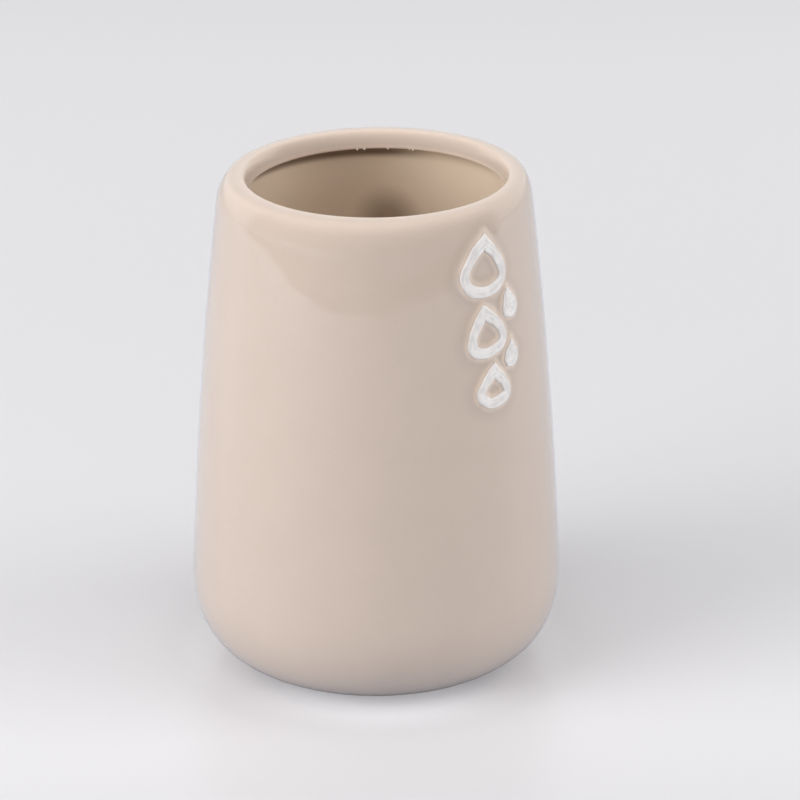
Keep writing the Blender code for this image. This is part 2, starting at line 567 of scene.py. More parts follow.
def even_steps(along: Points, spacing: Points) -> Points:
    """Places along a line whose distances follow a spacing.

    Args:
        along: Distances along the line.
        spacing: The spacing that is wanted at each.

    Returns:
        The chosen distances, both ends among them.
    """
    middle = 2.0 / (spacing[1:] + spacing[:-1])
    count = np.concatenate([[0.0], np.cumsum(np.diff(along) * middle)])
    steps = math.ceil(count[-1])
    return np.interp(np.linspace(0.0, count[-1], steps + 1), count, along)


def placed(name: str, data: bpy.types.ID) -> bpy.types.Object:
    """Put data into the scene.

    Args:
        name: The new object's name.
        data: Its mesh, light or camera.

    Returns:
        The linked object, at the origin.
    """
    thing = bpy.data.objects.new(name, data)
    bpy.context.scene.collection.objects.link(thing)
    return thing


def guide_mesh(
    name: str,
    points: Points,
    faces: Sequence = (),
    traits: Mapping[str, Points] | None = None,
) -> bpy.types.Object:
    """Make a mesh that a tree reads.

    Args:
        name: The object's name.
        points: Two or three coordinates in each row.
        faces: Its faces. Without any, the points form one line.
        traits: Values that are stored on the points.

    Returns:
        The linked object.
    """
    if points.shape[1] == 2:
        points = np.column_stack([points, np.zeros(len(points))])
    edges = [] if len(faces) else [(i, i + 1) for i in range(len(points) - 1)]
    mesh = bpy.data.meshes.new(name)
    mesh.from_pydata(points.tolist(), edges, faces)
    for label, values in (traits or {}).items():
        stored = mesh.attributes.new(label, "FLOAT", "POINT")
        stored.data.foreach_set("value", values.astype(np.float32))
    return placed(name, mesh)


def remove(things: Iterable[bpy.types.Object]) -> None:
    """Take objects out of the scene."""
    for thing in list(things):
        bpy.data.objects.remove(thing, do_unlink=True)


def read_points(piece: bpy.types.Object) -> Points:
    """Read a mesh's points.

    Args:
        piece: The object with the mesh.

    Returns:
        The place of each point, one in each row.
    """
    found = np.zeros(len(piece.data.vertices) * 3)
    piece.data.vertices.foreach_get("co", found)
    return found.reshape(-1, 3)


def write_points(piece: bpy.types.Object, points: Points) -> None:
    """Move a mesh's points."""
    piece.data.vertices.foreach_set("co", points.ravel())
    piece.data.update()


# Finishes


@dataclass(frozen=True)
class GlazeFinish:
    """Glossy beige glaze over cream clay: paler where it breaks thin and darker where it pools.

    Inside the cup it is lighter and more saturated, partly as the glaze's own colour and partly as painted
    light on the inner wall.
    It has a painted shadow low on the back wall and painted shade in the undercut below the lip, darker on
    one side.
    A span gives where a change starts and where it is full.
    """

    body: Colour = (0.581, 0.478, 0.407)
    cloud: Colour = (0.591, 0.486, 0.414)
    cloud_size: float = 9 * MM
    cloud_span: Span = (0.35, 0.65)
    speck: Colour = (0.470, 0.375, 0.300)
    mottle_size: float = 1.1 * MM
    mottle_span: Span = (0.56, 0.72)
    mottle_share: float = 0.16
    pinhole_cell: float = 5.5 * MM
    pinhole_size: float = 0.11 * MM
    pinhole_floor: float = 0.4
    pinhole_share: float = 0.45

    # lighter, more saturated glaze on the inner wall: partly its own colour, partly painted light that
    # brightens the inside
    inside: Colour = (0.828, 0.684, 0.540)
    lip_span: Span = (101.7 * MM, 100.5 * MM)
    # painted shadow: a dark spot low on the back inner wall, where shade falls
    shade_spot: Colour = (0.440, 0.335, 0.252)
    shade_spot_azimuth: float = math.radians(132.5)
    shade_spot_radius: float = 29.6 * MM
    shade_spot_height: float = 84.3 * MM
    shade_spot_span: Span = (8.8 * MM, 1.5 * MM)
    # painted shade in the undercut below the lip, strongest towards one side of the inner wall
    lip_shade: Colour = (0.260, 0.190, 0.145)
    lip_shade_azimuth: float = math.radians(228)
    lip_shade_side: Span = (-14 * MM, -1 * MM)
    lip_shade_rise: Span = (98.1 * MM, 99.9 * MM)

    pooled: Colour = (0.490, 0.400, 0.335)
    pool_rise: Span = (0.8 * MM, 1.5 * MM)
    pool_fall: Span = (1.6 * MM, 4.0 * MM)
    pool_share: float = 0.35
    slope: Colour = (0.725, 0.600, 0.505)
    slope_span: Span = (1.0 * MM, 0.30 * MM)
    worn_size: float = 3.2 * MM
    worn_least: float = 0.45
    thin: Colour = (0.770, 0.622, 0.522)
    wander_size: float = 1.6 * MM
    wander_depth: float = 0.5

    clay: Colour = (0.780, 0.730, 0.650)
    grain_size: float = 0.25 * MM
    grain_depth: float = 0.03 * MM
    clay_rough: float = 0.6
    gloss: float = 0.045
    gloss_change: float = 0.03
    index: float = 1.6
    swell_size: float = 10 * MM
    swell_depth: float = 0.060 * MM
    peel_size: float = 2.6 * MM
    peel_depth: float = 0.006 * MM

    def inner_colour(self, shader: Shader, place: Signal) -> Signal:
        """Colour the inner wall, with its painted shadow low on the back wall and its painted shade below
        the lip.

        Args:
            shader: Where the nodes go.
            place: The Object coordinates.

        Returns:
            The colour.
        """
        # painted shadow: darkest at one spot low on the back inner wall, fading out round it
        shade_spot = direction(self.shade_spot_azimuth) * self.shade_spot_radius
        shade_spot.z = self.shade_spot_height
        off_shade_spot = shader.vector("DISTANCE", place, shade_spot, output="Value")
        colour = shader.mix(shader.ramp(off_shade_spot, *self.shade_spot_span), self.inside, self.shade_spot)
        # painted shade below the lip, fading out towards one side
        _, _, up = shader.parts(place)
        aside = shader.along(place, direction(self.lip_shade_azimuth))
        lip_shade = shader.ramp(aside, *self.lip_shade_side) * shader.ramp(up, *self.lip_shade_rise)
        return shader.mix(lip_shade, colour, self.lip_shade)

    def over_grounds(self, shader: Shader, place: Signal, colour: Signal) -> Signal:
        """Pool the glaze round the drops' raised grounds and wear it pale on their slopes.

        Args:
            shader: Where the nodes go.
            place: The Object coordinates.
            colour: The glaze's colour so far.

        Returns:
            The colour.
        """
        reach = shader.attribute(REACH)
        pool = shader.band(reach, self.pool_rise, self.pool_fall)
        colour = shader.mix(pool * self.pool_share, colour, self.pooled)
        patches = shader.noise(place, self.worn_size, seed=5.9, detail=1.0)
        worn = shader.ramp(patches, *self.cloud_span, self.worn_least, 1.0)
        return shader.mix(shader.ramp(reach, *self.slope_span) * worn, colour, self.slope)

    def pinholes(self, shader: Shader, place: Signal) -> Signal:
        """Scatter pinholes.

        Args:
            shader: Where the nodes go.
            place: The Object coordinates.

        Returns:
            1 in a pinhole and 0 elsewhere.
        """
        cells = {"Vector": place, "Scale": 1.0 / self.pinhole_cell, "Randomness": 1.0}
        off = shader.take("ShaderNodeTexVoronoi", {"feature": "F1"}, cells, "Distance")
        share = self.pinhole_size / self.pinhole_cell
        return shader.ramp(off, share, self.pinhole_floor * share)

    def material(self) -> bpy.types.Material:
        """Build the glaze.

        Returns:
            The material.
        """
        shader = Shader(GLAZE_SLOT)
        place = shader.place()
        clouds = shader.noise(place, self.cloud_size, seed=1.3, detail=3.0)
        mottle = shader.noise(place, self.mottle_size, seed=4.1, detail=4.0, rough=0.7)
        colour = shader.mix(shader.ramp(clouds, *self.cloud_span), self.body, self.cloud)
        colour = shader.mix(shader.ramp(mottle, *self.mottle_span) * self.mottle_share, colour, self.speck)
        _, _, up = shader.parts(place)
        # inner wall colour: partly glaze colour, partly painted light, with painted shadow and painted
        # shade below the lip
        inside = (1.0 - shader.attribute(OUTSIDE)) * shader.ramp(up, *self.lip_span)
        colour = shader.mix(inside, colour, self.inner_colour(shader, place))
        colour = self.over_grounds(shader, place, colour)
        wander = shader.noise(place, self.wander_size, seed=7.7) - 0.5
        thin = shader.attribute(THIN) * (1.0 + wander * self.wander_depth)
        colour = shader.mix(thin, colour, self.thin)
        pinholes = self.pinholes(shader, place)
        colour = shader.mix(pinholes * self.pinhole_share, colour, self.speck)
        bare = shader.attribute(BARE)
        grain = shader.noise(place, self.grain_size, seed=2.2, detail=3.0, rough=0.7)
        colour = shader.mix(bare, colour, shader.mix(grain, self.clay, self.thin))

        rough = self.gloss + self.gloss_change * (clouds - 0.5) + bare * self.clay_rough
        swell = shader.noise(place, self.swell_size, seed=6.6)
        peel = shader.noise(place, self.peel_size, seed=9.4, detail=1.5)
        normal = shader.bump(peel, self.peel_depth, shader.bump(swell, self.swell_depth))
        normal = shader.bump(bare * grain - pinholes, self.grain_depth, normal)
        return shader.finish(Base_Color=colour, Roughness=rough, Normal=normal, IOR=self.index)


@dataclass(frozen=True)
class EnamelFinish:
    """Thick warm-white enamel, laid on unevenly, with thin grey drag marks along the brush.

    Lines go along the stroke. Their count is how many cross its width.
    """

    body: Colour = (0.850, 0.822, 0.808)
    sparse: Colour = (0.715, 0.680, 0.668)
    patch_size: float = 1.8 * MM
    patch_weight: float = 0.6
    bristle_count: float = 4.5
    bristle_length: float = 0.8
    body_span: Span = (0.34, 0.60)
    drag: Colour = (0.560, 0.535, 0.530)
    drag_count: float = 11.0
    drag_length: float = 0.9
    drag_span: Span = (0.58, 0.68)
    drag_patch: Span = (0.44, 0.60)
    drag_share: float = 0.70
    drag_rough: float = 0.1
    drag_sink: float = 0.5
    edge: Colour = (0.760, 0.690, 0.640)
    edge_width: float = 0.09
    edge_share: float = 0.50
    gloss: float = 0.14
    index: float = 1.6
    streak_depth: float = 0.06 * MM

    def material(self) -> bpy.types.Material:
        """Build the enamel.

        Returns:
            The material.
        """
        shader = Shader(ENAMEL_SLOT)
        around_x, around_y, across = shader.parts(shader.attribute(STROKE, "Vector"))
        patch = shader.noise(shader.place(), self.patch_size, seed=5.2)
        lines = shader.joined(around_x, around_y, across * self.bristle_count)
        bristles = shader.noise(lines, self.bristle_length, seed=3.3)
        cover = bristles + self.patch_weight * (patch - 0.5)
        colour = shader.mix(shader.ramp(cover, *self.body_span), self.sparse, self.body)
        lines = shader.joined(around_x, around_y, across * self.drag_count)
        marks = shader.noise(lines, self.drag_length, seed=8.8, detail=1.0)
        dragged = shader.ramp(marks, *self.drag_span) * shader.ramp(patch, *self.drag_patch)
        colour = shader.mix(dragged * self.drag_share, colour, self.drag)
        rim = shader.math("MINIMUM", across, 1.0 - across)
        colour = shader.mix(shader.ramp(rim, 0.0, self.edge_width, self.edge_share, 0.0), colour, self.edge)
        rough = self.gloss + dragged * self.drag_rough
        normal = shader.bump(bristles - self.drag_sink * dragged, self.streak_depth)
        return shader.finish(Base_Color=colour, Roughness=rough, Normal=normal, IOR=self.index)


@dataclass(frozen=True)
class TableFinish:
    """Pale, slightly lavender table top with a soft polish.

    The camera sees painted light and shade on it: paler far behind the holder and darker in front.
    It also sees a faint painted glow that lifts the shadow below the round base, weaker at the sides.
    Reflections see it in its mirrored colour, a painted reflection tint, and light that bounces off it is
    dimmed near the foot by painted shade.
    To all but the camera it is unlit beyond the lit span, apart from the tent's walled side and a weaker
    light farther out.
    """

    colour: Colour = (0.742, 0.738, 0.760)
    polish: float = 0.30
    # painted light and shade for the camera: paler far behind the holder, darker in front
    far: Colour = (0.862, 0.849, 0.874)
    far_span: Span = (-100 * MM, -450 * MM)
    near: Colour = (0.692, 0.686, 0.710)
    near_span: Span = (40 * MM, 90 * MM)
    # painted reflection tint: the colour that reflections of the table show
    mirrored: Colour = (0.680, 0.740, 0.840)
    # painted shade in the light that bounces off the table near the foot
    shaded: Colour = (0.480, 0.520, 0.600)
    shade_span: Span = (30 * MM, 70 * MM)
    # painted glow, seen only by the camera, that lifts the shadow below the base
    glow: Colour = (0.340, 0.336, 0.352)
    glow_rise: Span = (20 * MM, 25 * MM)
    glow_fall: Span = (25 * MM, 44 * MM)
    glow_turn: float = math.radians(53)
    glow_sides: float = 0.58
    unlit: Colour = (0.080, 0.076, 0.076)
    lit_span: Span = (583 * MM, 567 * MM)
    relit_span: Span = (640 * MM, 780 * MM)
    relit: float = 0.45

    def material(self, tent: "Tent") -> bpy.types.Material:
        """Build the table top.

        Args:
            tent: The light tent that stands on it.

        Returns:
            The material.
        """
        shader = Shader("table_top")
        place = shader.place()
        heading = shader.vector("NORMALIZE", place)
        away = shader.vector("LENGTH", place, output="Value")
        seen, mirrored = shader.ray(Ray.SEEN), shader.ray(Ray.MIRRORED)
        full = shader.math("MAXIMUM", shader.ramp(away, *self.shade_span), seen)
        colour = shader.mix(full, self.shaded, self.colour)
        ahead = shader.along(place, tent.toward())
        # painted light and shade that only the camera sees
        colour = shader.mix(shader.ramp(ahead, *self.far_span) * seen, colour, self.far)
        colour = shader.mix(shader.ramp(ahead, *self.near_span) * seen, colour, self.near)
        colour = shader.mix(mirrored, colour, self.mirrored)
        facing = shader.along(heading, tent.toward())
        sides = shader.ramp(facing, math.cos(self.glow_turn), 1.0, self.glow_sides, 1.0)
        # painted glow in the shadow below the base, weaker at the sides
        glow = shader.band(away, self.glow_rise, self.glow_fall) * seen * sides
        emitted = shader.mix(glow, BLACK, self.glow)
        shader.finish(Base_Color=colour, Roughness=self.polish)
        shader.finish(Emission_Color=emitted, Emission_Strength=1.0)

        lit = shader.ramp(away, *self.lit_span) + shader.ramp(away, *self.relit_span) * self.relit
        lit = shader.math("MAXIMUM", lit, tent.walled(shader, heading))
        lit = shader.math("MAXIMUM", lit, seen)
        unlit = shader.take("ShaderNodeBsdfDiffuse", None, {"Color": self.unlit})
        values = {0: lit, 1: unlit, 2: Signal(shader, shader.surface.outputs[0])}
        surface = shader.take("ShaderNodeMixShader", None, values)
        shader.feed(shader.tree.nodes["Material Output"].inputs["Surface"], surface)
        return shader.material


# The cup


@dataclass(frozen=True)
class Section:
    """The turned section: radius and height of each point, with what the glaze does there."""

    line: Points
    traits: Mapping[str, Points]


@dataclass
class CupBody:
    """The fired cup: foot, round base, tapering wall, rim bead, steep mouth, undercut lip and inside."""

    height: float = 105 * MM
    belly_radius: float = 38.3 * MM
    belly_height: float = 20 * MM
    shoulder_radius: float = 32.1 * MM
    shoulder_drop: float = 5.5 * MM
    neck_round: float = 2.4 * MM
    wall_bulge: float = 1.0 * MM
    base_rise: float = 18 * MM
    base_flare: float = 5 * MM
    wall: float = 4.0 * MM
    foot_radius: float = 21.5 * MM
    foot_width: float = 3.0 * MM
    foot_recess: float = 1.6 * MM
    recess_round: float = 1.2 * MM
    crest_radius: float = 29.8 * MM
    mouth_radius: float = 26.95 * MM
    mouth_round: float = 0.45 * MM
    mouth_slope: float = math.radians(60)
    lip_radius: float = 25.9 * MM
    lip_drop: float = 3.4 * MM
    lip_slope: float = math.radians(86)
    lip_edge: float = 0.5 * MM
    undercut: float = 2.9 * MM

    # Beads of glaze below the back of the lip: degrees from its middle, and radius
    nib_degrees: tuple[float, ...] = (-17.0, -15.4, -5.2, 5.6, 8.9)
    nib_sizes: tuple[float, ...] = (0.24 * MM, 0.16 * MM, 0.21 * MM, 0.26 * MM, 0.21 * MM)

    # The raised grounds, and the unevenness of a hand-trimmed casting
    ground_height: float = 0.45 * MM
    ground_slope: float = 1.60 * MM
    wave_height: float = 0.045 * MM
    wave_size: float = 13 * MM
    uneven_azimuth: float = math.radians(-42)
    rim_tilt: float = math.radians(0.5)
    tilt_span: Span = (25 * MM, 5 * MM)
    mouth_shift: float = 0.54 * MM
    shift_in: float = 40 * MM
    shift_out: float = 8 * MM
    corner_shift: float = 0.8
    nib_shift: float = 0.9

    # Height and width of the stretches where the glaze breaks thin, and the unglazed ring
    thin_mouth: Span = (0.78, 1.5 * MM)
    thin_crest: Span = (0.36, 2.0 * MM)
    crest_offset: float = 0.5 * MM
    thin_lip: Span = (0.95, 0.35 * MM)
    bare_margin: float = 0.4 * MM
    bare_blur: float = 0.15 * MM

    # Fineness of the lines and the mesh
    shoulder_points: int = 200
    wall_points: int = 800
    base_points: int = 600
    floor_points: int = 200
    undercut_points: int = 120
    mouth_points: int = 80
    corner_points: int = 60
    ring_points: int = 20001
    glaze_round: float = 0.12 * MM
    line_step: float = 0.05 * MM
    step_blur: float = 0.4 * MM
    least_step: float = 0.11 * MM
    fine_step: float = 0.25 * MM
    coarse_step: float = 1.4 * MM
    bend_turn: float = math.radians(7)
    least_bend: float = 1e-6
    fine_low: float = 62 * MM
    fine_half_arc: float = 8.6 * MM
    fine_fade: float = 0.35
    coarse_turn: float = math.radians(2.3)
    finish: GlazeFinish = field(default_factory=GlazeFinish)

    @cached_property
    def outer_side(self) -> Points:
        """Shoulder, wall and base round, from the crest of the rim down to the foot.

        Returns:
            Radius and height of each point.
        """
        top = np.array((self.shoulder_radius, self.height - self.shoulder_drop))
        across = self.shoulder_radius - self.crest_radius
        crest = (self.crest_radius, top[1])
        shoulder = arc(crest, across, self.shoulder_drop, QUARTER, 0.0, self.shoulder_points)
        belly = np.array((self.belly_radius, self.belly_height))
        bulge = np.array((self.wall_bulge, 0.0))
        handles = [top + (belly - top) * share + bulge for share in (1 / 3, 2 / 3)]
        wall = bezier(top, *handles, belly, self.wall_points)
        along = belly - handles[1]
        along /= np.linalg.norm(along)
        foot = (self.foot_radius, 0.0)
        flare = (self.foot_radius + self.base_flare, 0.0)
        base = bezier(belly, belly + along * self.base_rise, flare, foot, self.base_points)
        return np.vstack([shoulder, wall[1:], base[1:]])

    def radius_at(self, height: Points) -> Points:
        """The outer radius at some heights."""
        line = self.outer_side[::-1]
        return np.interp(height, line[:, 1], line[:, 0])

    def inner_side(self) -> Points:
        """Floor, cove and inner wall, from the middle of the floor up to the undercut.

        Returns:
            Radius and height of each point.
        """
        line = self.outer_side[self.shoulder_points - 1 :]
        along = np.gradient(line, axis=0)
        along /= np.linalg.norm(along, axis=1)[:, None]
        inset = line + self.wall * np.column_stack([along[:, 1], -along[:, 0]])
        top = self.height - self.lip_drop - self.lip_edge - self.undercut
        wall = inset[inset[:, 1] < top][::-1]
        cove = wall[0]
        middle = (0.0, self.foot_recess + self.wall)
        handles = (cove[0] / 2, middle[1]), (cove[0] / 2, cove[1])
        floor = bezier(middle, *handles, cove, self.floor_points)
        return np.vstack([floor, wall[1:]])

    def rim(self, inner_top: Points) -> list[Points]:
        """Undercut, lip edge, steep mouth and mouth corner.

        Args:
            inner_top: Where the inner wall ends.

        Returns:
            Those four stretches, from the inner wall up to the top of the rim bead.
        """
        lip = np.array((self.lip_radius, self.height - self.lip_drop))
        under = (self.lip_radius, inner_top[1])
        rise = lip[1] - self.lip_edge - under[1]
        undercut = arc(under, inner_top[0] - under[0], rise, 0.0, QUARTER, self.undercut_points)
        edge = np.array([undercut[-1], lip])
        setback = self.mouth_round * math.tan(self.mouth_slope / 2)
        centre = (self.mouth_radius + setback, self.height - self.mouth_round)
        first = QUARTER + self.mouth_slope
        corner = arc(centre, self.mouth_round, self.mouth_round, first, QUARTER, self.corner_points)
        reach = (corner[0, 1] - lip[1]) / 3
        slopes = (self.lip_slope, self.mouth_slope)
        leave, arrive = (reach * np.array((math.cos(slope), math.sin(slope))) for slope in slopes)
        mouth = bezier(lip, lip + leave, corner[0] - arrive, corner[0], self.mouth_points)
        return [undercut, edge, mouth, corner]

    def foot(self) -> Points:
        """Foot ring and recessed underside, from the ring's outer edge to the middle.

        Returns:
            Radius and height of each point.
        """
        centre = (self.foot_radius - self.foot_width - self.recess_round, 0.0)
        step = arc(centre, self.recess_round, self.foot_recess, 0.0, QUARTER, self.corner_points)
        return np.vstack([step, [(0.0, self.foot_recess)]])

    def section(self) -> Section:
        """Join the stretches into one line, round its edges and choose its points.

        Returns:
            The section from the middle of the floor over the rim and under the foot.
        """
        inner = self.inner_side()
        stretches = [inner, *self.rim(inner[-1]), self.outer_side, self.foot()]
        rough = np.vstack(stretches)
        along = distances(rough)
        ends = along[np.cumsum([len(stretch) for stretch in stretches]) - 1]
        inner_end, undercut_end, lip_end, _, corner_end, outer_end, _ = ends
        step = self.line_step
        even = np.arange(0.0, along[-1], step)
        line = blurred(resampled(rough, along, even), self.glaze_round / step)
        neck = corner_end + distances(self.outer_side[: self.shoulder_points])[-1]
        share = bell(even, neck, 2 * self.neck_round)
        line += share[:, None] * (blurred(line, self.neck_round / step) - line)
        line[[0, -1], 0] = 0.0

        crest = corner_end + self.crest_radius - self.mouth_radius - self.mouth_round
        lobes = (
            (self.thin_mouth, corner_end),
            (self.thin_crest, crest + self.crest_offset),
            (self.thin_lip, (undercut_end + lip_end) / 2),
        )
        thin = sum(height * bell(even, centre, width) for (height, width), centre in lobes)
        ring_end = outer_end + self.foot_width
        unglazed = (even > outer_end - self.bare_margin) & (even < ring_end + self.bare_margin)
        places = [inner_end - self.shift_in, inner_end, corner_end, corner_end + self.shift_out]
        traits = {
            THIN: np.clip(thin, 0.0, 1.0),
            BARE: blurred(unglazed.astype(float), self.bare_blur / step),
            MOUTH: np.interp(even, places, [0.0, 1.0, self.corner_shift, 0.0]),
            OUTSIDE: (even > corner_end).astype(float),
        }
        chosen = even_steps(even, self.spacing(line, even > corner_end))
        return Section(
            line=resampled(line, even, chosen),
            traits={name: np.interp(chosen, even, values) for name, values in traits.items()},
        )

    def spacing(self, line: Points, outside: Points) -> Points:
        """Choose how close the section's points are: close on bends and where the drops are.

        Args:
            line: The section in even steps.
            outside: Whether each step is on the outer side.

        Returns:
            The spacing that is wanted at each step.
        """
        heading = np.unwrap(np.arctan2(*np.gradient(line, axis=0).T[::-1]))
        bend = np.abs(np.gradient(heading, self.line_step))
        spacing = self.bend_turn / np.maximum(bend, self.least_bend)
        spacing = np.clip(spacing, self.least_step, self.coarse_step)
        near_drops = outside & (line[:, 1] > self.fine_low)
        spacing = np.where(near_drops, np.minimum(spacing, self.fine_step), spacing)
        return np.exp(blurred(np.log(spacing), self.step_blur / self.line_step))

    def ring(self) -> Points:
        """Places round a unit circle, dense where the drops are and coarse elsewhere.

        Returns:
            The places, from the back round to the back.
        """
        turn = np.linspace(-math.pi, math.pi, self.ring_points)
        fine = self.fine_step / self.shoulder_radius
        half = self.fine_half_arc / self.shoulder_radius
        spacing = np.interp(np.abs(turn), [half, half + self.fine_fade], [fine, self.coarse_turn])
        return around(even_steps(turn, spacing))

    def nibs(self) -> bpy.types.Object:
        """Mark where small beads of glaze hang from the back of the lip.

        Returns:
            The guide, with each bead's radius.
        """
        turn = self.uneven_azimuth + math.pi + np.radians(self.nib_degrees)
        height = np.full(len(turn), self.height - self.lip_drop - self.lip_edge)
        points = np.column_stack([self.lip_radius * around(turn), height])
        return guide_mesh("nibs", points, (), {NIB: np.array(self.nib_sizes)})

    def tree(self, plan: bpy.types.Object) -> tuple[ShapeTree, Signal]:
        """Draw the tree that sweeps the section round the ring, raises the grounds and hangs the nibs.

        Args:
            plan: The drops, drawn flat: across and up.

        Returns:
            The tree and the mesh that it ends with.
        """
        section = self.section()
        inputs = {
            "Section": guide_mesh("section", section.line, (), section.traits),
            "Ring": guide_mesh("ring", self.ring()),
            "Plan": plan,
            "Nibs": self.nibs(),
            "Ground Height": self.ground_height,
            "Ground Slope": self.ground_slope,
            "Wave Height": self.wave_height,
            "Wave Size": self.wave_size,
            "Seed": 11,
        }
        tree = ShapeTree("turn_cup", inputs)
        line, ring = tree.guide("Section"), tree.guide("Ring")
        mesh, column, row = tree.lattice(tree.points_in(ring), tree.points_in(line))
        radius, height, _ = tree.parts(tree.place_at(line, row))
        around_x, around_y, _ = tree.parts(tree.place_at(ring, column))
        place = tree.joined(radius * around_x, radius * around_y, height)
        for name in section.traits:
            mesh = tree.store(mesh, name, tree.at(line, tree.named(name), row))
        mesh = tree.welded(tree.moved(mesh, Position=place))
        mesh = tree.take("GeometryNodeFlipFaces", None, {"Mesh": mesh})

        x, y, z = tree.parts(tree.position())
        across = tree.math("ARCTAN2", x, -y) * tree.math("SQRT", x * x + y * y)
        nearest = {"Target": tree.guide("Plan"), "Source Position": tree.joined(across, z, 0.0)}
        reach = tree.take("GeometryNodeProximity", {"target_element": "FACES"}, nearest, "Distance")
        mesh = tree.store(mesh, REACH, reach + (1.0 - tree.named(OUTSIDE)))
        ground = tree.ramp(tree.named(REACH), 0.0, tree.input("Ground Slope"), 1.0, 0.0)
        wave = tree.noise(tree.position(), tree.input("Wave Size"), tree.input("Seed"), detail=1.0) - 0.5
        proud = ground * tree.input("Ground Height")
        proud = proud + wave * tree.input("Wave Height") * 2.0 * tree.named(OUTSIDE)
        mesh = tree.moved(mesh, Offset=tree.scaled(tree.take("GeometryNodeInputNormal"), proud))

        bead = tree.take("GeometryNodeMeshIcoSphere", None, {"Radius": 1.0, "Subdivisions": 3}, "Mesh")
        hung = {"Points": tree.guide("Nibs"), "Instance": bead, "Scale": tree.named(NIB)}
        nibs = tree.take("GeometryNodeInstanceOnPoints", None, hung)
        nibs = tree.take("GeometryNodeRealizeInstances", None, {"Geometry": nibs})
        together = tree.add("GeometryNodeJoinGeometry")
        for part in (tree.store(nibs, MOUTH, self.nib_shift), mesh):
            tree.feed(together.inputs["Geometry"], part)
        return tree, Signal(tree, together.outputs["Geometry"])

    def lean(self, points: Points, mouth_share: Points) -> Points:
        """Give points near the rim the unevenness of a hand-trimmed casting.

        Args:
            points: Places on the even cup.
            mouth_share: How much each follows the mouth's shift.

        Returns:
            Their places on the uneven cup.
        """
        aside = np.array([math.cos(self.uneven_azimuth), math.sin(self.uneven_azimuth), 0.0])
        low, high = (self.height - drop for drop in self.tilt_span)
        share = np.clip((points[:, 2] - low) / (high - low), 0.0, 1.0)
        share = share**2 * (3 - 2 * share)
        moved = points + np.outer(mouth_share * self.mouth_shift, aside)
        moved[:, 2] += share * math.tan(self.rim_tilt) * (points @ aside)
        return moved

    def build(self, plan: bpy.types.Object) -> bpy.types.Object:
        """Make the cup's mesh and dress it.

        Args:
            plan: The drops, drawn flat, which are removed with the other guides.

        Returns:
            The finished piece.
        """
        tree, mesh = self.tree(plan)
        cup = tree.grow("holder_cup", mesh, self.finish.material())
        share = np.zeros(len(cup.data.vertices))
        cup.data.attributes[MOUTH].data.foreach_get("value", share)
        write_points(cup, self.lean(read_points(cup), share))
        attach(cup, ROOT)
        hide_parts("cup_body")
        return cup


# The drops


class DropKind(Enum):
    """How a drop is painted."""

    OUTLINED = "outlined"
    SOLID = "solid"


@dataclass(frozen=True)
class Drop:
    """One drop. Its place and size are shares of the column's width and height."""

    node: str
    kind: DropKind
    across: float
    down: float
    width: float
    height: float
    lean: float
    seed: int


